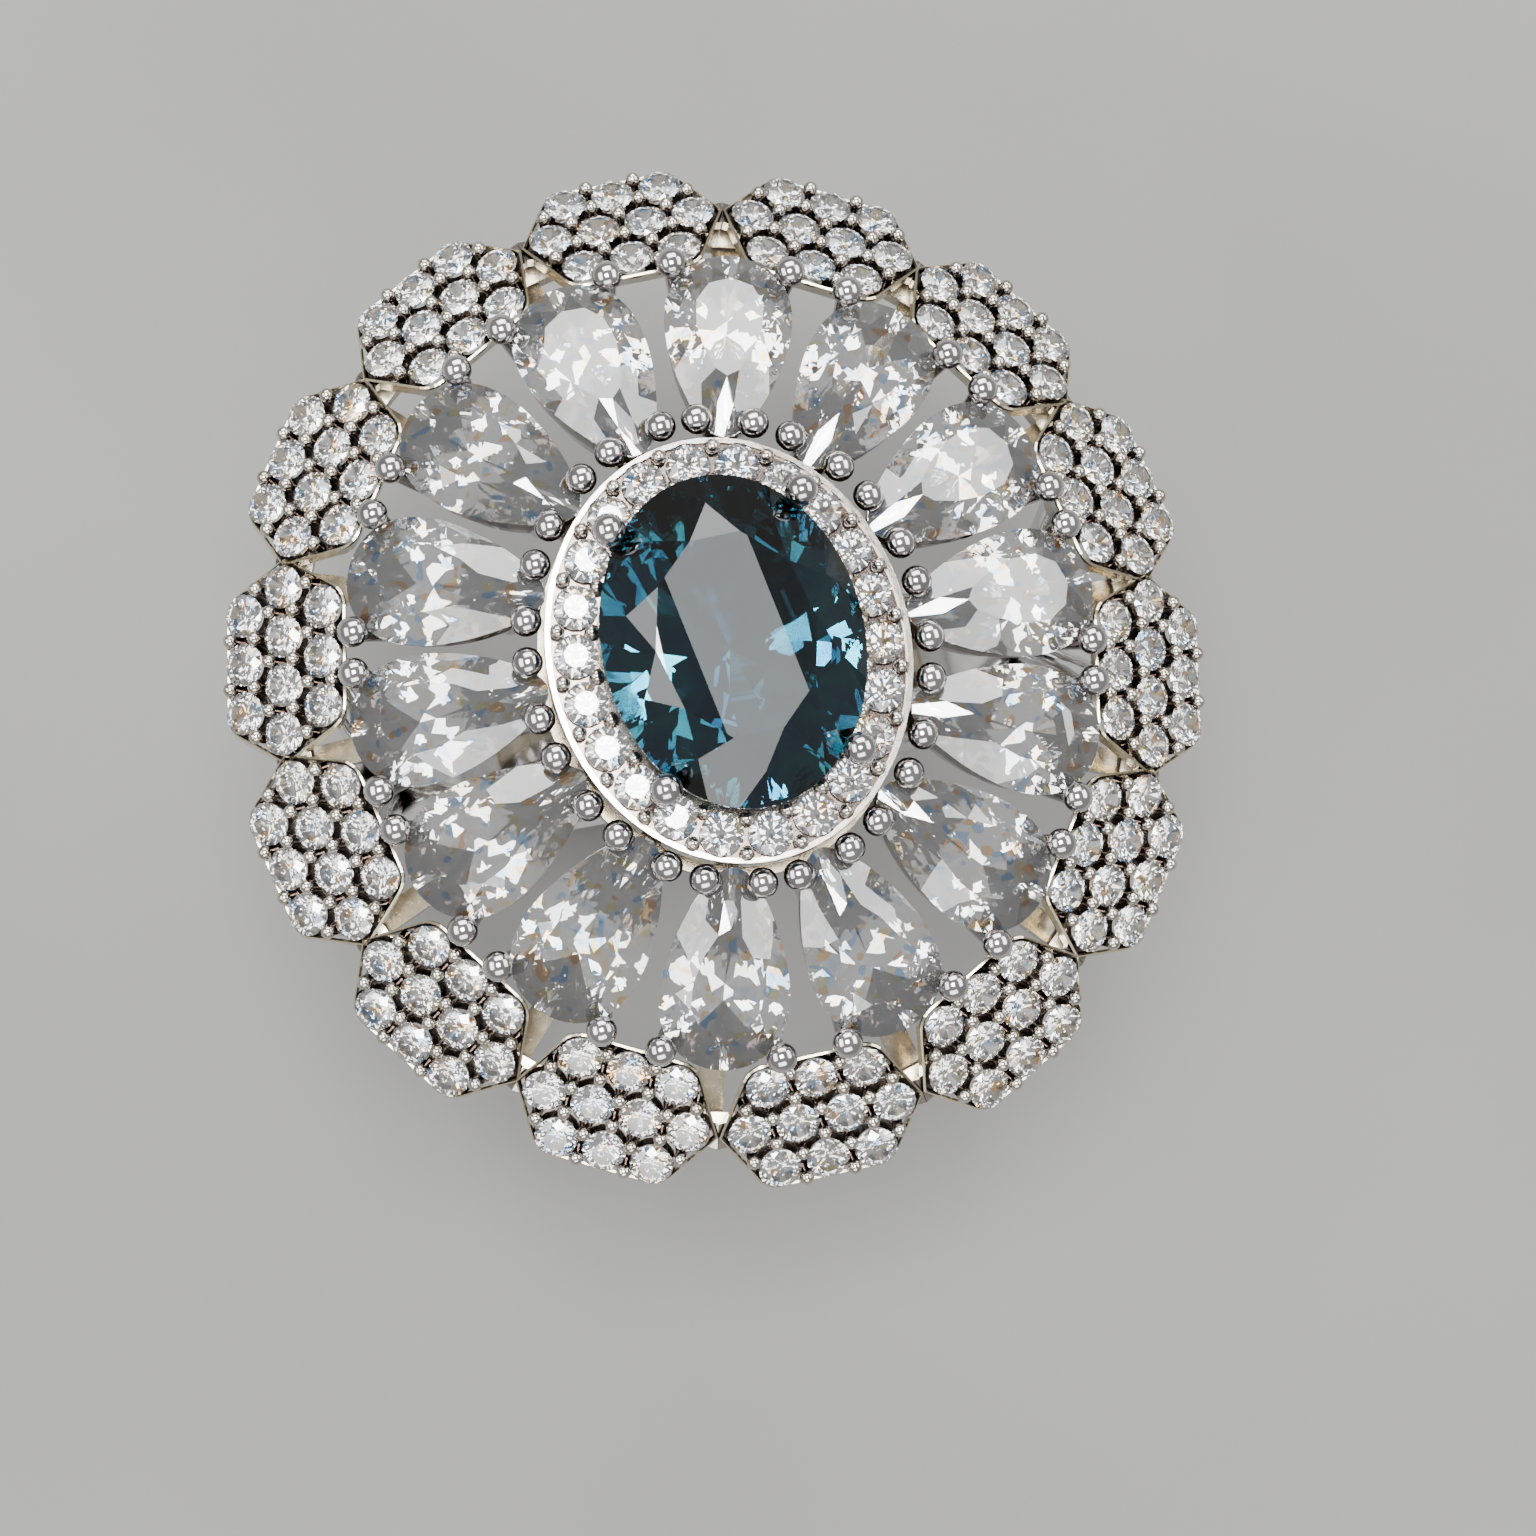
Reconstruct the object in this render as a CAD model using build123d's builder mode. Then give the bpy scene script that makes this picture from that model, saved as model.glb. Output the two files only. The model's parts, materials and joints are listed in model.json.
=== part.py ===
"""Flower cocktail ring: oval centre stone, pave halo, fourteen pear petals and a scalloped pave border.

Millimetres. The origin is the centre of the finger hole, +Y runs along the finger,
+Z points out through the centre stone and +X runs across the finger.
"""

import os
from math import atan2, cos, degrees, pi, radians, sin, sqrt

from build123d import *

os.makedirs("parts", exist_ok=True)

# ---- driving dimensions -------------------------------------------------------------
finger_radius = 8.65  # US size 7
band_thickness = 1.5
band_width = 3.4
band_edge = 0.2

petal_count = 14
petal_step = 360 / petal_count

head_level = 14.4  # height of the petals' inner prong tips
centre_width, centre_length = 7.0, 9.0
centre_girdle_level = head_level + 1.6
centre_pavilion, centre_crown = 2.9, 1.15

halo_level = head_level + 0.2
halo_thickness = 1.0
halo_line = (4.08, 5.05)
halo_outer = (4.88, 5.77)
halo_inner = (3.28, 4.30)
halo_stone_count = 22

round_diameter = 1.2
round_pitch = 1.35
row_pitch = 1.32
bead_radius = 0.2
bead_rise = 0.09
seat_depth = 0.22  # how far the metal lies below the small stones' girdles

pear_width, pear_length = 3.5, 5.5
pear_crown, pear_pavilion = 0.55, 1.5
pear_girdle = 0.08
pear_slope = 14.4
pear_line = (8.24, 9.15)
pear_level = head_level - 0.98
pear_ball = 0.36
pear_wire = 0.27

scallop_line = (11.92, 12.66)
scallop_level = head_level - 3.1
scallop_slope = 35.0
scallop_thickness = 0.98

rail_bottom, rail_top = 9.2, 10.0
rail_inner = (11.45, 12.19)
rail_outer = (12.35, 13.09)
spoke_width, spoke_depth = 0.7, 0.5
spoke_top = -2.7  # below each pear's girdle plane, where its basket stands
plate_bottom, plate_top = 11.0, 11.6
plate_outer = (5.0, 5.9)

band_radius = finger_radius + band_thickness


# ---- where things sit ---------------------------------------------------------------
def on_oval(axes, angle):
    """The point of an oval that is seen at this angle from its centre."""
    c, s = cos(radians(angle)), sin(radians(angle))
    reach = 1 / sqrt((c / axes[0]) ** 2 + (s / axes[1]) ** 2)
    return reach * c, reach * s


def outward(axes, angle):
    """The direction, in degrees, that the oval faces at that point."""
    x, y = on_oval(axes, angle)
    return degrees(atan2(y / axes[1] ** 2, x / axes[0] ** 2))


def sloping_plane(axes, angle, level, slope):
    """A plane on the oval whose x runs outwards and down by the slope."""
    x, y = on_oval(axes, angle)
    facing = radians(outward(axes, angle))
    lean = radians(slope)
    return Plane(
        origin=(x, y, level),
        x_dir=(cos(facing) * cos(lean), sin(facing) * cos(lean), -sin(lean)),
        z_dir=(cos(facing) * sin(lean), sin(facing) * sin(lean), cos(lean)),
    )


def even_points(axes, count):
    """Points spaced evenly along an oval, the first one on +Y."""
    fine = 3600
    ring = [(axes[0] * sin(2 * pi * i / fine), axes[1] * cos(2 * pi * i / fine)) for i in range(fine + 1)]
    travelled = [0.0]
    for before, after in zip(ring, ring[1:]):
        travelled.append(travelled[-1] + sqrt((after[0] - before[0]) ** 2 + (after[1] - before[1]) ** 2))
    points, i = [], 0
    for n in range(count):
        while travelled[i] < travelled[-1] * n / count:
            i += 1
        points.append(ring[i])
    return points


pear_planes = [sloping_plane(pear_line, petal_step * k, pear_level, pear_slope) for k in range(petal_count)]
scallop_planes = [
    sloping_plane(scallop_line, petal_step * (k + 0.5), scallop_level, scallop_slope)
    for k in range(petal_count)
]


# ---- outlines -----------------------------------------------------------------------
def pear_outline(size, count=28):
    """Corners of the pear, its round end towards +X, scaled about the stone's centre line."""
    corners = []
    for i in range(count):
        t = 2 * pi * i / count
        along = pear_length / 2 * (1 - cos(t)) - 0.62 * pear_length
        across = 0.945 * pear_width / 2 * sin(t) * (1 - 0.36 * cos(t) + 0.03 * cos(t) ** 2)
        corners.append((along * size, across * size))
    return corners


def oval_outline(size, count=32):
    """Corners of the centre stone's girdle, scaled about its centre."""
    return [
        (
            size * centre_width / 2 * cos(2 * pi * (i + 0.5) / count),
            size * centre_length / 2 * sin(2 * pi * (i + 0.5) / count),
        )
        for i in range(count)
    ]


def round_outline(size, count=12):
    """Corners of a small round stone's girdle."""
    radius = size * round_diameter / 2
    return [
        (radius * cos(2 * pi * (i + 0.5) / count), radius * sin(2 * pi * (i + 0.5) / count))
        for i in range(count)
    ]


def cut_stone(outline, girdle, crown, pavilion, table):
    """A faceted stone: its girdle is centred on the local XY plane and its table faces +Z."""
    low, high = -girdle / 2, girdle / 2
    rings = [
        [Vector(x, y, level) for x, y in outline(size)]
        for level, size in ((low, 1.0), (high, 1.0), (high + crown, table))
    ]
    culet = Vector(0, 0, low - pavilion)
    count = len(rings[0])
    facets = [Wire.make_polygon(rings[-1])]
    for i in range(count):
        j = (i + 1) % count
        facets.append(Wire.make_polygon([culet, rings[0][j], rings[0][i]]))
        for below, above in zip(rings, rings[1:]):
            facets.append(Wire.make_polygon([below[i], below[j], above[j], above[i]]))
    return Solid(Shell([Face(wire) for wire in facets]))


pear_stone_form = cut_stone(pear_outline, pear_girdle, pear_crown, pear_pavilion, 0.6)
centre_stone_form = cut_stone(oval_outline, 0.12, centre_crown, centre_pavilion, 0.58)
round_stone_form = cut_stone(round_outline, 0.04, 0.17, 0.5, 0.56)

# The hole drilled for a small stone: a cone that its girdle sits in and a through hole.
with BuildPart() as seat_form:
    with BuildSketch(Plane.XZ):
        with BuildLine():
            Polyline(
                (0, 0.6),
                (round_diameter / 2 + 0.03, 0.6),
                (round_diameter / 2 + 0.03, -0.03),
                (0.34, -0.5),
                (0.34, -1.4),
                (0, -1.4),
                close=True,
            )
        make_face()
    revolve(axis=Axis.Z)

# A bead that holds a small stone: a short post with a ball on it.
with BuildPart() as bead_form:
    Sphere(bead_radius)
    with BuildSketch(Plane.XY):
        Circle(0.15)
    extrude(amount=-0.45)

# ---- shank --------------------------------------------------------------------------
with BuildPart() as shank:
    with BuildSketch(Plane.XZ):
        Circle(band_radius)
        Circle(finger_radius, mode=Mode.SUBTRACT)
    extrude(amount=band_width / 2, both=True)
    walls = shank.faces().filter_by(GeomType.CYLINDER).sort_by(lambda f: f.radius)
    chamfer(walls[0].edges().filter_by(GeomType.CIRCLE), band_edge)
    fillet(walls[-1].edges().filter_by(GeomType.CIRCLE), 0.55)
shank.part.label = "shank"
export_step(shank.part, "parts/shank.step")

# The outside of the band, for fitting the pieces soldered onto it.
with BuildPart() as band_clearance:
    with BuildSketch(Plane.XZ):
        Circle(band_radius)
    extrude(amount=band_width, both=True)

# ---- under-gallery: border rail, base plate and a spoke under each pear ---------------
with BuildPart() as border_rail:
    with BuildSketch(Plane.XY.offset(rail_bottom)):
        Ellipse(*rail_outer)
        Ellipse(*rail_inner, mode=Mode.SUBTRACT)
    extrude(amount=rail_top - rail_bottom)
border_rail.part.label = "border_rail"
export_step(border_rail.part, "parts/border_rail.step")

with BuildPart() as base_plate:
    with BuildSketch(Plane.XY.offset(plate_bottom)):
        Ellipse(*plate_outer)
        Ellipse(1.5, 2.0, mode=Mode.SUBTRACT)
        with Locations(*even_points((3.25, 4.05), 12)):
            Circle(0.5, mode=Mode.SUBTRACT)
    extrude(amount=plate_top - plate_bottom)
base_plate.part.label = "base_plate"
export_step(base_plate.part, "parts/base_plate.step")

with BuildPart() as gallery_spokes:
    for plane in pear_planes:
        with BuildSketch(plane.offset(spoke_top)):
            with Locations((0.55, 0)):
                Rectangle(7.5, spoke_width)
        extrude(amount=-spoke_depth)
    add(border_rail.part, mode=Mode.SUBTRACT)
    with BuildSketch(Plane.XY.offset(plate_bottom - 3)):
        Ellipse(*plate_outer)
    extrude(amount=6, mode=Mode.SUBTRACT)
gallery_spokes.part.label = "gallery_spokes"
export_step(gallery_spokes.part, "parts/gallery_spokes.step")

# ---- shoulders: a forked arm on each side, from the band up to the border rail -------
for name, side in (("shoulder_left", -1), ("shoulder_right", 1)):
    with BuildPart() as shoulder:
        for end in (-1, 1):
            with BuildLine() as arm_line:
                Spline(
                    (side * 9.75, end * 0.5, 2.2),
                    (side * 10.1, end * 1.15, 5.0),
                    (side * 11.25, end * 3.3, rail_bottom + 0.5),
                    tangents=((0, 0, 1), (side * 0.35, end * 0.75, 1)),
                )
            with BuildSketch(Plane(origin=arm_line.line @ 0, x_dir=(1, 0, 0), z_dir=(0, 0, 1))):
                Ellipse(0.85, 0.75)
            sweep(path=arm_line.line)
        add(band_clearance.part, mode=Mode.SUBTRACT)
        with BuildSketch(Plane.XY.offset(rail_bottom)):
            Rectangle(60, 60)
        extrude(amount=8, mode=Mode.SUBTRACT)
    shoulder.part.label = name
    export_step(shoulder.part, f"parts/{name}.step")

# ---- saddle posts: from the top of the band to the base plate ------------------------
with BuildPart() as saddle_posts:
    with BuildSketch(Plane.XY.offset(plate_bottom)):
        with Locations((-4.35, 0), (4.35, 0)):
            RectangleRounded(0.9, 2.4, 0.3)
    extrude(amount=-2.6)
    add(band_clearance.part, mode=Mode.SUBTRACT)
saddle_posts.part.label = "saddle_posts"
export_step(saddle_posts.part, "parts/saddle_posts.step")

# ---- centre stone and its four-prong basket ------------------------------------------
with BuildPart() as centre_stone:
    with Locations(Plane.XY.offset(centre_girdle_level)):
        add(centre_stone_form)
centre_stone.part.label = "centre_stone"
export_step(centre_stone.part, "parts/centre_stone.step")

prong_top = (2.61, 3.51, centre_girdle_level + 0.32)
prong_foot = (1.43, 1.79, plate_top)
with BuildPart() as centre_basket:
    with BuildSketch(Plane.XY.offset(plate_top)):
        Ellipse(2.3, 2.86)
        Ellipse(1.7, 2.27, mode=Mode.SUBTRACT)
    extrude(amount=0.6)
    with BuildSketch(Plane.XY.offset(13.0)):
        Ellipse(2.4, 3.05)
        Ellipse(1.95, 2.6, mode=Mode.SUBTRACT)
    extrude(amount=0.45)
    for sx in (-1, 1):
        for sy in (-1, 1):
            with BuildLine() as leg:
                Line(
                    (sx * prong_foot[0], sy * prong_foot[1], prong_foot[2]),
                    (sx * prong_top[0], sy * prong_top[1], prong_top[2]),
                )
            with BuildSketch(Plane(origin=leg.line @ 0, z_dir=leg.line % 0)):
                Circle(0.3)
            sweep(path=leg.line)
            with Locations(leg.line @ 1):
                Sphere(0.45)
    add(centre_stone.part, mode=Mode.SUBTRACT)
    with BuildSketch(Plane.XY.offset(plate_top)):
        Rectangle(12, 12)
    extrude(amount=-2, mode=Mode.SUBTRACT)
centre_basket.part.label = "centre_basket"
export_step(centre_basket.part, "parts/centre_basket.step")

# ---- halo: seat ring with its beads, the wall that carries it, and its stones ---------
halo_points = even_points(halo_line, halo_stone_count)
halo_between = even_points(halo_line, 2 * halo_stone_count)[1::2]


def beside(point, axes, distance):
    """The point moved outwards from the oval by this distance."""
    nx, ny = point[0] / axes[0] ** 2, point[1] / axes[1] ** 2
    length = sqrt(nx * nx + ny * ny)
    return point[0] + distance * nx / length, point[1] + distance * ny / length


with BuildPart() as halo_ring:
    with BuildSketch(Plane.XY.offset(halo_level - halo_thickness)):
        Ellipse(*halo_outer)
        Ellipse(*halo_inner, mode=Mode.SUBTRACT)
    extrude(amount=halo_thickness - seat_depth)
    with BuildSketch(Plane.XY.offset(halo_level - halo_thickness)):
        Ellipse(*halo_outer)
        Ellipse(halo_outer[0] - 0.14, halo_outer[1] - 0.14, mode=Mode.SUBTRACT)
    extrude(amount=halo_thickness)
    with Locations(*[(x, y, halo_level) for x, y in halo_points]):
        add(seat_form.part, mode=Mode.SUBTRACT)
    bead_spots = [beside(p, halo_line, d) for p in halo_between for d in (-0.46, 0.46)]
    with Locations(*[(x, y, halo_level + bead_rise) for x, y in bead_spots]):
        add(bead_form.part)
    add(centre_basket.part, mode=Mode.SUBTRACT)
halo_ring.part.label = "halo_ring"
export_step(halo_ring.part, "parts/halo_ring.step")

with BuildPart() as halo_gallery:
    post_spots = [on_oval((4.2, 5.15), petal_step * (k + 0.5)) for k in range(petal_count)]
    with BuildSketch(Plane.XY.offset(plate_top)):
        with Locations(*post_spots):
            Circle(0.28)
    extrude(amount=halo_level - halo_thickness - plate_top)
    with BuildSketch(Plane.XY.offset(12.4)):
        Ellipse(4.45, 5.4)
        Ellipse(3.95, 4.9, mode=Mode.SUBTRACT)
    extrude(amount=0.4)
halo_gallery.part.label = "halo_gallery"
export_step(halo_gallery.part, "parts/halo_gallery.step")

with BuildPart() as halo_stones:
    with Locations(*[(x, y, halo_level) for x, y in halo_points]):
        add(round_stone_form)
halo_stones.part.label = "halo_stones"
export_step(halo_stones.part, "parts/halo_stones.step")

# ---- pear petals: a basket of two rails and four ball prongs under each stone --------
inner_tip = (-3.08, 0.77, 0.3)
outer_tip = (1.60, 1.62, 0.3)
foot_size = 0.62
with BuildPart() as pear_basket_form:
    for top, depth, outer_size, inner_size in ((-0.7, 0.45, 0.9, 0.74), (-2.25, 0.45, 0.7, 0.5)):
        with BuildSketch(Plane.XY.offset(top)):
            Polygon(*pear_outline(outer_size), align=None)
            Polygon(*pear_outline(inner_size), align=None, mode=Mode.SUBTRACT)
        extrude(amount=-depth)
    for tip in (inner_tip, outer_tip):
        for end in (-1, 1):
            with BuildLine() as leg:
                Line(
                    (tip[0] * foot_size, end * tip[1] * foot_size, spoke_top + 0.2),
                    (tip[0], end * tip[1], tip[2]),
                )
            with BuildSketch(Plane(origin=leg.line @ 0, z_dir=leg.line % 0)):
                Circle(pear_wire)
            sweep(path=leg.line)
            with Locations(leg.line @ 1):
                Sphere(pear_ball)
    add(pear_stone_form, mode=Mode.SUBTRACT)
    with BuildSketch(Plane.XY.offset(spoke_top)):
        Rectangle(12, 12)
    extrude(amount=-2, mode=Mode.SUBTRACT)

for k, plane in enumerate(pear_planes, start=1):
    with BuildPart() as pear_basket:
        with Locations(plane):
            add(pear_basket_form.part)
    pear_basket.part.label = f"pear_basket_{k:02d}"
    export_step(pear_basket.part, f"parts/pear_basket_{k:02d}.step")
    with BuildPart() as pear_stone:
        with Locations(plane):
            add(pear_stone_form)
    pear_stone.part.label = f"pear_stone_{k:02d}"
    export_step(pear_stone.part, f"parts/pear_stone_{k:02d}.step")

# ---- pave border: fourteen scallops, three rows of stones on each ---------------------
# In a scallop's own plane x runs outwards and down, and y runs along the border.
rows = {
    "inner": [(-row_pitch, (i - 1) * round_pitch) for i in range(3)],
    "middle": [(0, (i - 1.5) * round_pitch) for i in range(4)],
    "outer": [(row_pitch, (i - 1) * round_pitch) for i in range(3)],
}
bead_spots = [
    (x + side * 0.41, (y_before + y_after) / 2)
    for spots in rows.values()
    for (x, y_before), (_, y_after) in zip(spots, spots[1:])
    for side in (-1, 1)
]
bead_spots += [(sx * 0.86, sy * 2.04) for sx in (-1, 1) for sy in (-1, 1)]
seats = [spot for spots in rows.values() for spot in spots]

scallop_corners = [
    (row_pitch, -round_pitch),
    (row_pitch, round_pitch),
    (0, 1.5 * round_pitch),
    (-row_pitch, round_pitch),
    (-row_pitch, -round_pitch),
    (0, -1.5 * round_pitch),
]
lean = radians(scallop_slope)
with BuildPart() as scallop_form:
    with BuildSketch(Plane.XY.offset(-seat_depth)):
        Polygon(*scallop_corners, align=None)
        offset(amount=0.5)
        with Locations(*seats):
            Circle(0.66)
        Rectangle(0.8, 6.4)
    extrude(amount=scallop_thickness - seat_depth, dir=(sin(lean), 0, -cos(lean)))
    with Locations(*seats):
        add(seat_form.part, mode=Mode.SUBTRACT)
    with Locations(*[(x, y, bead_rise) for x, y in bead_spots]):
        add(bead_form.part)

for k, plane in enumerate(scallop_planes, start=1):
    with BuildPart() as scallop:
        with Locations(plane):
            add(scallop_form.part)
        with BuildSketch(Plane.XY.offset(rail_top)):
            with Locations(*[on_oval(scallop_line, petal_step * (k - 0.5) + turn) for turn in (-5.6, 5.6)]):
                Circle(0.32)
        extrude(amount=0.55)
        # Each scallop ends at the solder lines with its neighbours.
        sector = [(0, 0)]
        for turn in (k - 1, k):
            edge = radians(petal_step * turn)
            sector.append((20 * cos(edge), 20 * sin(edge)))
        with BuildSketch(Plane.XY.offset(8)):
            Polygon(*sector, align=None)
            offset(amount=-0.01, kind=Kind.INTERSECTION)
        extrude(amount=6, mode=Mode.INTERSECT)
    scallop.part.label = f"scallop_{k:02d}"
    export_step(scallop.part, f"parts/scallop_{k:02d}.step")

for row, spots in rows.items():
    with BuildPart() as pave_row:
        for plane in scallop_planes:
            with Locations(*[plane * Location((x, y, 0)) for x, y in spots]):
                add(round_stone_form)
    pave_row.part.label = f"pave_stones_{row}"
    export_step(pave_row.part, f"parts/pave_stones_{row}.step")
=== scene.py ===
import json
import math
import random

import bmesh
import bpy
import numpy as np
from mathutils import Matrix, Vector


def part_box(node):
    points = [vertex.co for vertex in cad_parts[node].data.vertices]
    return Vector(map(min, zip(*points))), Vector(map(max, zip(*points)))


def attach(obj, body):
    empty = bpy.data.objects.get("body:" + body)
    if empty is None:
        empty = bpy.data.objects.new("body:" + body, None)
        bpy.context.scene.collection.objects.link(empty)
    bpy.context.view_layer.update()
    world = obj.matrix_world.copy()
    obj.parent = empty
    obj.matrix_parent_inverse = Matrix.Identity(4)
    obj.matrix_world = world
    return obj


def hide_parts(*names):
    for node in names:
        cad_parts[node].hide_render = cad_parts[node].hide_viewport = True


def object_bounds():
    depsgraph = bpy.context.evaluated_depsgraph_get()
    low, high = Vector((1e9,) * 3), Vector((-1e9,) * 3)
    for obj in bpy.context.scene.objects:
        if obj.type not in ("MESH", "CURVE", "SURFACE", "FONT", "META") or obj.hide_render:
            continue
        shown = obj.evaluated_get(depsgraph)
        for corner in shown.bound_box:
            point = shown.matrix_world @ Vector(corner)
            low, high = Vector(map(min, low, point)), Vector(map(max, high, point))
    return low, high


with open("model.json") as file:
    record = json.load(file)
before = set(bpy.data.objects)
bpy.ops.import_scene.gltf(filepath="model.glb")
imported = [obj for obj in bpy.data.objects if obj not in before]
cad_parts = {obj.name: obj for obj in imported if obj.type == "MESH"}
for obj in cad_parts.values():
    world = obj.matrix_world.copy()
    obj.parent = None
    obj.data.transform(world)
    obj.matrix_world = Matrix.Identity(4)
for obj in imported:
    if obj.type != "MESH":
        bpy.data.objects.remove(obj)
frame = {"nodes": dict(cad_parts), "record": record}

cad_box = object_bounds()
chance = random.Random(7)
MM = 0.001


# ---- reading the stones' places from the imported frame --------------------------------
def solids(node):
    """The separate solids of a CAD node: for each, its corner points and its table's normal."""
    mesh = frame["nodes"][node].data
    key = [tuple(round(c, 6) for c in v.co) for v in mesh.vertices]
    group = {k: k for k in key}

    def root(k):
        while group[k] != k:
            group[k] = group[group[k]]
            k = group[k]
        return k

    for poly in mesh.polygons:
        corners = [key[i] for i in poly.vertices]
        for other in corners[1:]:
            group[root(other)] = root(corners[0])
    points, flats = {}, {}
    for k in set(key):
        points.setdefault(root(k), []).append(k)
    for poly in mesh.polygons:
        owner = root(key[poly.vertices[0]])
        normal = tuple(round(c, 2) for c in poly.normal)
        sides = flats.setdefault(owner, {})
        area, total = sides.get(normal, (0.0, Vector()))
        sides[normal] = (area + poly.area, total + poly.normal * poly.area)
    found = []
    for owner in sorted(points):
        biggest = max(flats[owner].values(), key=lambda side: side[0])
        found.append((np.array(sorted(points[owner])), biggest[1].normalized()))
    return found


def stone_frame(corners, table, tip_axis=None):
    """A stone's own axes: Z out of its table through the culet, origin level with the girdle's top."""
    along = corners @ np.array(table)
    culet = Vector(corners[int(along.argmin())])
    off = corners - np.array(culet)
    radial = off - np.outer(off @ np.array(table), np.array(table))
    reach = np.linalg.norm(radial, axis=1)
    far = int(reach.argmax())
    if tip_axis is None:
        x = -Vector(radial[far]).normalized()
    else:
        x = (tip_axis - table * tip_axis.dot(table)).normalized()
    y = table.cross(x)
    at_girdle = along[reach > 0.9 * reach.max()]
    level = float(at_girdle.max()) - float(along.min())
    origin = culet + table * level
    turn = Matrix((x, y, table)).transposed().to_4x4()
    sizes = {
        "reach": float(reach.max()),
        "depth": float(at_girdle.min()) - float(along.min()),
        "girdle": float(at_girdle.max() - at_girdle.min()),
        "crown": float(along.max()) - float(at_girdle.max()),
    }
    return Matrix.Translation(origin) @ turn, sizes


# ---- cut stones -----------------------------------------------------------------------
def add_brilliant(bm, place, outline, sizes, mains, table, rim, steps, keel=(0.0, 0.0)):
    """Adds a cut stone to bm as the hull of its facet corners.

    outline(turn) gives the girdle, and steps lists the rings of corners below it as
    their size and how many corners each has. A long stone ends below in a keel along
    its x axis instead of in one point.
    """
    crown, girdle, depth = sizes["crown"], sizes["girdle"], sizes["depth"]
    half = math.cos(math.pi / mains)
    star = 0.5 * (1 + table)
    points = []
    for size, level, corners, shift in (
        (table, crown, mains, 0.0),
        (star, crown * (1 - star * half) / (1 - table), mains, 0.5),
        (1.0, 0.0, rim, 0.0),
        (1.0, -girdle, rim, 0.0),
    ):
        for i in range(corners):
            x, y = outline((i + shift) / corners)
            points.append((x * size, y * size, level))
    long_end = keel[0] if keel[0] else 1.0
    for number, (size, corners) in enumerate((*steps, (0.0, 9))):
        for i in range(corners):
            x, y = outline((i + 0.5 * (number % 2 == 0)) / corners)
            spine = max(keel[0], min(keel[1], x))
            below = depth * (1 - 0.18 * max(0.0, spine / long_end) ** 2)
            points.append((spine + (x - spine) * size, y * size, -girdle - below * (1 - size ** 1.12)))
    verts = [bm.verts.new(place @ Vector(point)) for point in sorted(set(points))]
    made = bmesh.ops.convex_hull(bm, input=verts, use_existing_faces=False)
    inside = [v for v in made["geom_interior"] if isinstance(v, bmesh.types.BMVert)]
    if inside:
        bmesh.ops.delete(bm, geom=inside, context="VERTS")


def add_object(bm, name, material):
    """Turns bm into an object of the scene, and frees bm."""
    mesh = bpy.data.meshes.new(name)
    bm.to_mesh(mesh)
    bm.free()
    mesh.materials.append(material)
    thing = bpy.data.objects.new(name, mesh)
    bpy.context.scene.collection.objects.link(thing)
    return thing


def finish_stones(bm, name, material, node):
    """Joins the flat parts of each facet, and puts the stones in the place of their CAD node."""
    bmesh.ops.dissolve_limit(bm, angle_limit=math.radians(0.6), verts=bm.verts, edges=bm.edges)
    bmesh.ops.recalc_face_normals(bm, faces=bm.faces)
    piece = add_object(bm, name, material)
    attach(piece, "root")
    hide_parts(node)


def oval(width, length):
    return lambda turn: (width * math.cos(2 * math.pi * turn), length * math.sin(2 * math.pi * turn))


def pear(reach):
    """The pear's girdle, its tip at turn 0; reach is the distance from the culet's axis to the tip."""
    length = reach / 0.62
    width = length * 3.5 / 5.5

    def outline(turn):
        t = 2 * math.pi * turn
        along = length / 2 * (1 - math.cos(t)) - reach
        bulge = 1 - 0.36 * math.cos(t) + 0.03 * math.cos(t) ** 2
        return along, 0.945 * width / 2 * math.sin(t) * bulge

    return outline


# ---- materials --------------------------------------------------------------------------
def new_material(name):
    material = bpy.data.materials.new(name)
    material.use_nodes = True
    tree = material.node_tree
    return material, tree, tree.nodes["Principled BSDF"]


def noise(tree, scale, detail=3.0, rough=0.5):
    place = tree.nodes.new("ShaderNodeTexCoord")
    node = tree.nodes.new("ShaderNodeTexNoise")
    node.inputs["Scale"].default_value = scale
    node.inputs["Detail"].default_value = detail
    node.inputs["Roughness"].default_value = rough
    tree.links.new(place.outputs["Object"], node.inputs["Vector"])
    return node.outputs["Fac"]


def ramp(tree, source, *stops):
    node = tree.nodes.new("ShaderNodeValToRGB")
    points = node.color_ramp.elements
    while len(points) < len(stops):
        points.new(0.5)
    for point, (at, colour) in zip(points, stops):
        point.position = at
        point.color = (*colour, 1)
    tree.links.new(source, node.inputs["Fac"])
    return node.outputs["Color"]


def spread(tree, source, low, high):
    node = tree.nodes.new("ShaderNodeMapRange")
    node.inputs["To Min"].default_value = low
    node.inputs["To Max"].default_value = high
    tree.links.new(source, node.inputs["Value"])
    return node.outputs["Result"]


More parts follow.
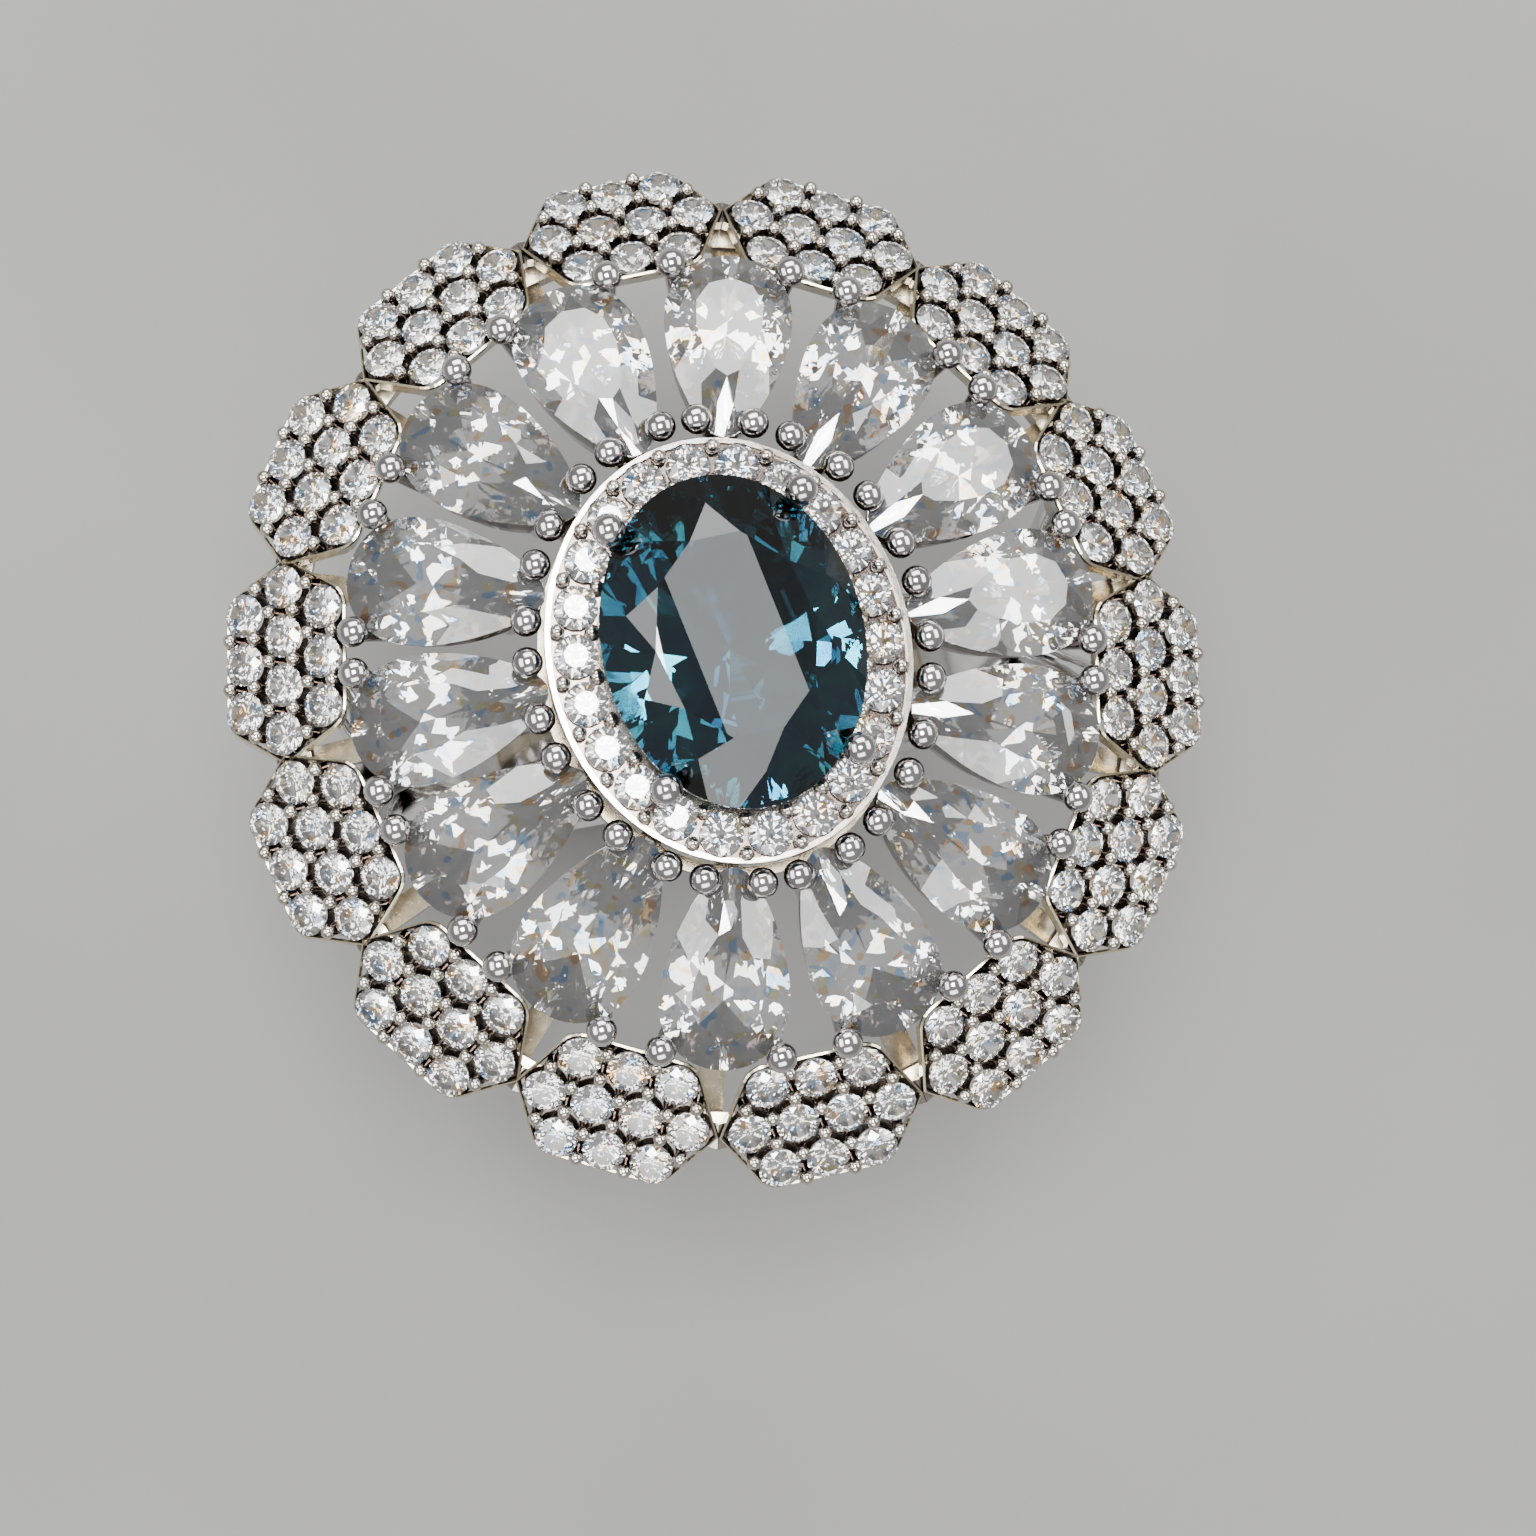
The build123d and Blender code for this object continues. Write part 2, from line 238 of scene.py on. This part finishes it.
def silver(name, bright, dull, smooth, worn, grain, shade_reach, unshaded_from):
    """Polished plated silver: a clouded tone, painted shade in its corners, and fine polishing marks.

    smooth and worn are the ends of its roughness. shade_reach is how near, in millimetres, another
    surface darkens it with painted shade, and unshaded_from is how open a spot must be to stay free of
    the painted shade.
    """
    material, tree, shader = new_material(name)
    shader.inputs["Metallic"].default_value = 1.0
    tone = ramp(tree, noise(tree, 900), (0.35, dull), (0.62, bright))
    # Painted shade: where another surface is near, the ambient occlusion blends the base colour towards
    # a dark brown, standing in for the shade in corners and between parts.
    corner = tree.nodes.new("ShaderNodeAmbientOcclusion")
    corner.samples = 6
    corner.inputs["Distance"].default_value = shade_reach * MM
    mix = tree.nodes.new("ShaderNodeMix")
    mix.data_type = "RGBA"
    mix.inputs["A"].default_value = (0.10, 0.075, 0.065, 1)
    unshaded_mask = ramp(tree, corner.outputs["AO"], (unshaded_from - 0.5, (0, 0, 0)), (unshaded_from, (1, 1, 1)))
    tree.links.new(unshaded_mask, mix.inputs["Factor"])
    tree.links.new(tone, mix.inputs["B"])
    tree.links.new(mix.outputs["Result"], shader.inputs["Base Color"])
    tree.links.new(spread(tree, noise(tree, grain, 6.0, 0.7), smooth, worn), shader.inputs["Roughness"])
    return material


def gem(name, ior, milk, clear, tinted, painted_flashes):
    """A cut stone: glass whose tone drifts, with small patches of painted fire: coloured spots in the
    base colour that stand in for the cut's flashes of dispersed light.
    """
    material, tree, shader = new_material(name)
    shader.inputs["Transmission Weight"].default_value = 1 - milk
    shader.inputs["Roughness"].default_value = 0.0
    shader.inputs["IOR"].default_value = ior
    body = ramp(tree, noise(tree, 700, 2.0), (0.4, tinted), (0.6, clear))
    colour = body
    # Painted fire: each noise pattern paints small spots of one flash colour into the base colour,
    # standing in for dispersed light.
    for seed_scale, flash in painted_flashes:
        where = ramp(tree, noise(tree, seed_scale, 0.0), (0.70, (0, 0, 0)), (0.73, (1, 1, 1)))
        mix = tree.nodes.new("ShaderNodeMix")
        mix.data_type = "RGBA"
        mix.inputs["B"].default_value = (*flash, 1)
        tree.links.new(where, mix.inputs["Factor"])
        tree.links.new(colour, mix.inputs["A"])
        colour = mix.outputs["Result"]
    tree.links.new(colour, shader.inputs["Base Color"])
    return material


band_silver = silver(
    "band_silver", bright=(0.86, 0.86, 0.87), dull=(0.72, 0.71, 0.70),
    smooth=0.07, worn=0.16, grain=9000, shade_reach=0.4, unshaded_from=0.75,
)
gallery_silver = silver(
    "gallery_silver", bright=(0.60, 0.53, 0.40), dull=(0.40, 0.34, 0.25),
    smooth=0.16, worn=0.34, grain=7000, shade_reach=0.6, unshaded_from=0.75,
)
# The prongs are the same silver as the band; their darker base colour is painted shade, standing in for
# the dark surroundings they mirror.
prong_silver = silver(
    "prong_silver", bright=(0.64, 0.62, 0.63), dull=(0.50, 0.48, 0.49),
    smooth=0.08, worn=0.16, grain=9000, shade_reach=1.6, unshaded_from=0.95,
)
# The beads are the same silver as the band; their darker base colour is painted shade, standing in for
# the dark surroundings they mirror.
pave_silver = silver(
    "pave_silver", bright=(0.66, 0.62, 0.56), dull=(0.50, 0.45, 0.38),
    smooth=0.08, worn=0.20, grain=9000, shade_reach=0.5, unshaded_from=0.85,
)
rim_silver = silver(
    "rim_silver", bright=(0.72, 0.65, 0.48), dull=(0.54, 0.47, 0.32),
    smooth=0.12, worn=0.26, grain=8000, shade_reach=0.5, unshaded_from=0.75,
)
blue_gem = gem("centre_gem", 1.62, 0.0, (0.007, 0.064, 0.082), (0.004, 0.026, 0.056), ())
# Painted fire colours for the pear and pave stones: orange, blue and yellow flashes of dispersed light
# painted into the base colour.
painted_fire = ((2300, (1.0, 0.55, 0.22)), (2700, (0.30, 0.58, 1.0)), (3100, (1.0, 0.88, 0.45)))
pear_gem = gem("pear_gem", 2.15, 0.03, (0.98, 0.98, 0.99), (0.92, 0.93, 0.95), painted_fire)
pave_gem = gem("pave_gem", 2.15, 0.03, (0.98, 0.97, 0.98), (0.92, 0.91, 0.93), painted_fire)

slots = {
    "band_silver": band_silver,
    "gallery_silver": gallery_silver,
    "prong_silver": prong_silver,
    "pave_silver": pave_silver,
    "centre_gem": blue_gem,
    "pear_gem": pear_gem,
    "pave_gem": pave_gem,
}
for part in frame["record"]["subparts"]:
    node = frame["nodes"][part["node"]]
    node.data.materials.clear()
    node.data.materials.append(slots[part["material_slot"]])

# ---- the stones, cut in full ---------------------------------------------------------------
(corners, table), = solids("centre_stone")
place, sizes = stone_frame(corners, table, Vector((1, 0, 0)))
low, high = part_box("centre_stone")
bm = bmesh.new()
girdle = oval((high.x - low.x) / 2, (high.y - low.y) / 2)
add_brilliant(bm, place, girdle, sizes, 10, 0.62, 80, ((0.66, 20), (0.3, 10)))
finish_stones(bm, "centre_gem", blue_gem, "centre_stone")

# A prong's tip is a ball pressed down a little over the stone's edge.
tip_radius = 0.42
tip_height = 0.9  # of a full ball
tip_rise = 0.28  # of its middle above the girdle
tip_spots = ((-3.08, 0.77), (1.60, 1.62))  # along the pear from its culet, and out to each side
ball = bmesh.new()
bmesh.ops.create_uvsphere(ball, u_segments=32, v_segments=20, radius=tip_radius * MM)
for vert in ball.verts:
    vert.co.z *= tip_height
one_tip = bpy.data.meshes.new("one_tip")
ball.to_mesh(one_tip)
ball.free()

tips = bmesh.new()
for node in sorted(n for n in frame["nodes"] if n.startswith("pear_stone")):
    (corners, table), = solids(node)
    place, sizes = stone_frame(corners, table)
    reach = sizes["reach"]
    bm = bmesh.new()
    add_brilliant(bm, place, pear(reach), sizes, 12, 0.54, 60,
                  ((0.86, 28), (0.70, 28), (0.52, 24), (0.34, 20)),
                  (-0.44 * reach, 0.08 * reach))
    finish_stones(bm, node.replace("stone", "gem"), pear_gem, node)
    for x, y in tip_spots:
        for side in (-1, 1):
            spot = place @ Matrix.Translation((x * MM, side * y * MM, tip_rise * MM))
            ball = one_tip.copy()
            ball.transform(spot)
            tips.from_mesh(ball)
            bpy.data.meshes.remove(ball)
bpy.data.meshes.remove(one_tip)
prong_tips = add_object(tips, "pear_prong_tips", prong_silver)
prong_tips.data.polygons.foreach_set("use_smooth", [True] * len(prong_tips.data.polygons))
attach(prong_tips, "root")

for node in ("halo_stones", "pave_stones_inner", "pave_stones_middle", "pave_stones_outer"):
    bm = bmesh.new()
    for corners, table in solids(node):
        turn = chance.uniform(0, math.pi / 4)
        place, sizes = stone_frame(corners, table)
        place = place @ Matrix.Rotation(turn, 4, "Z")
        add_brilliant(bm, place, oval(sizes["reach"], sizes["reach"]), sizes, 8, 0.56, 16, ((0.24, 8),))
    finish_stones(bm, node.replace("stones", "gems"), pave_gem, node)

# ---- scallop rims ---------------------------------------------------------------------------
# A thin wall round the stones of each scallop. Two neighbours' walls meet in a V.
round_pitch, row_pitch = 1.35, 1.32  # between the stones of a row, and between rows
rim_gap = 0.64  # from the corner stones' centres to the middle of the wall
rim_half = 0.05
rim_top, rim_shoulder = -0.11, -0.15  # against the stones' girdles
rim_depth = 0.8
rim_meeting = 2.80  # from a scallop's middle to where its wall meets the next one


def scallop_places():
    """Each scallop's axes, from its middle row of stones: X outwards and down, Z out of the stones."""
    stones = []
    for corners, table in solids("pave_stones_middle"):
        spot = stone_frame(corners, table)[0].translation
        stones.append((math.atan2(spot.y, spot.x) % (2 * math.pi), spot, table))
    stones.sort(key=lambda stone: stone[0])
    places = []
    for first in range(0, len(stones), 4):
        spots = [stone[1] for stone in stones[first:first + 4]]
        y = (spots[3] - spots[0]).normalized()
        z = stones[first][2]
        centre = (spots[1] + spots[2]) / 2
        places.append(Matrix.Translation(centre) @ Matrix((y.cross(z), y, z)).transposed().to_4x4())
    return places


def rim_line(gap):
    """Points round a scallop: arcs this far from its four corner stones, and two sharp side corners."""
    lean = math.atan2(0.5 * round_pitch, row_pitch)
    points = []
    for side_x, side_y in ((1, 1), (-1, 1), (-1, -1), (1, -1)):
        turns = [i / 5 * (math.pi / 2 - lean) for i in range(6)]
        arc = [(row_pitch + gap * math.cos(a), round_pitch + gap * math.sin(a)) for a in turns]
        arc.append((0.0, rim_meeting + (gap - rim_gap) / math.cos(lean)))
        if side_x * side_y < 0:
            arc.reverse()
        points += [(side_x * x, side_y * y) for x, y in arc]
    return list(dict.fromkeys(points))


rim_profile = (
    (rim_gap - rim_half, rim_shoulder, 0),
    (rim_gap, rim_top, 0),
    (rim_gap + rim_half, rim_shoulder, 0),
    (rim_gap + rim_half, rim_shoulder, rim_depth),
    (rim_gap - rim_half, rim_shoulder, rim_depth),
)
bm = bmesh.new()
for place in scallop_places():
    down = place.to_3x3().inverted() @ Vector((0, 0, -1))
    loops = []
    for gap, level, drop in rim_profile:
        loops.append([
            bm.verts.new(place @ ((Vector((x, y, level)) + down * drop) * MM))
            for x, y in rim_line(gap)
        ])
    for one, other in zip(loops, loops[1:] + loops[:1]):
        for i in range(len(one)):
            bm.faces.new((one[i - 1], one[i], other[i], other[i - 1]))
bmesh.ops.recalc_face_normals(bm, faces=bm.faces)
rims = add_object(bm, "scallop_rims", rim_silver)
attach(rims, "root")

# ---- floor ------------------------------------------------------------------------------------
bm = bmesh.new()
bmesh.ops.create_grid(bm, x_segments=1, y_segments=1, size=0.6)
paper, tree, shader = new_material("floor_paper")
tree.links.new(ramp(tree, noise(tree, 30), (0.3, (0.155, 0.155, 0.15)), (0.7, (0.18, 0.18, 0.173))),
               shader.inputs["Base Color"])
shader.inputs["Roughness"].default_value = 0.85
floor = add_object(bm, "floor", paper)
floor.location.z = cad_box[0][2] - 0.2 * MM

# ---- light --------------------------------------------------------------------------------------
head_low, head_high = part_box("halo_ring")
head = (Vector(head_low) + Vector(head_high)) / 2


def softbox(name, toward, distance, width, height, radiance, colour=(1, 1, 1), long_side=(0, 1, 0)):
    """An area light that faces the head from a direction, as bright per area as radiance says."""
    light = bpy.data.lights.new(name, "AREA")
    light.shape = "RECTANGLE"
    light.size, light.size_y = width, height
    light.energy = radiance * math.pi * width * height
    light.color = colour
    lamp = bpy.data.objects.new(name, light)
    z = Vector(toward).normalized()
    x = Vector(long_side).cross(z).normalized()
    turn = Matrix((x, z.cross(x), z)).transposed().to_4x4()
    lamp.matrix_world = Matrix.Translation(head + z * distance) @ turn
    lamp.visible_camera = False
    bpy.context.scene.collection.objects.link(lamp)


softbox("key", (-0.085, 0.03, 0.98), 0.30, 0.10, 0.10, 62)
softbox("panel_left", (-0.76, 0.10, 0.64), 0.30, 0.14, 0.26, 6.0)
softbox("panel_right", (0.78, 0.12, 0.62), 0.30, 0.14, 0.26, 6.0)
softbox("panel_top", (0.12, 0.80, 0.60), 0.30, 0.26, 0.16, 8.0)
softbox("panel_front", (-0.12, -0.78, 0.62), 0.30, 0.26, 0.14, 5.0)
# The centre stone's table mirrors this small card as a pale band.
softbox(
    "card", (0.1023, 0.1297, 0.9870), 0.1052, 0.0048, 0.014, 5.4,
    colour=(0.93, 0.98, 1.0), long_side=(0.159, -0.987, 0),
)

world = bpy.data.worlds.new("studio")
bpy.context.scene.world = world
world.use_nodes = True
world.node_tree.nodes["Background"].inputs["Color"].default_value = (0.62, 0.61, 0.60, 1)
world.node_tree.nodes["Background"].inputs["Strength"].default_value = 0.60

# ---- camera ---------------------------------------------------------------------------------------
lens = bpy.data.cameras.new("camera")
lens.sensor_width = 36.0
lens.lens = 92.3
lens.clip_start = 0.005
lens.clip_end = 10.0
camera = bpy.data.objects.new("camera", lens)
bpy.context.scene.collection.objects.link(camera)
# The ring's turn as the camera sees it, and where the petals' inner prong tips then lie, in millimetres.
sight = Vector((-0.110, 0.095, 0.216))
prongs_seen = Vector((-1.031, 3.158, -105.02))
prongs_below_halo = 0.395
turn = Matrix.Rotation(sight.length, 3, sight.normalized())
prong_level = head_high.z - prongs_below_halo * MM
eye = Vector((0, 0, prong_level)) - (turn.transposed() @ prongs_seen) * MM
camera.matrix_world = Matrix.Translation(eye) @ turn.transposed().to_4x4()
bpy.context.scene.camera = camera
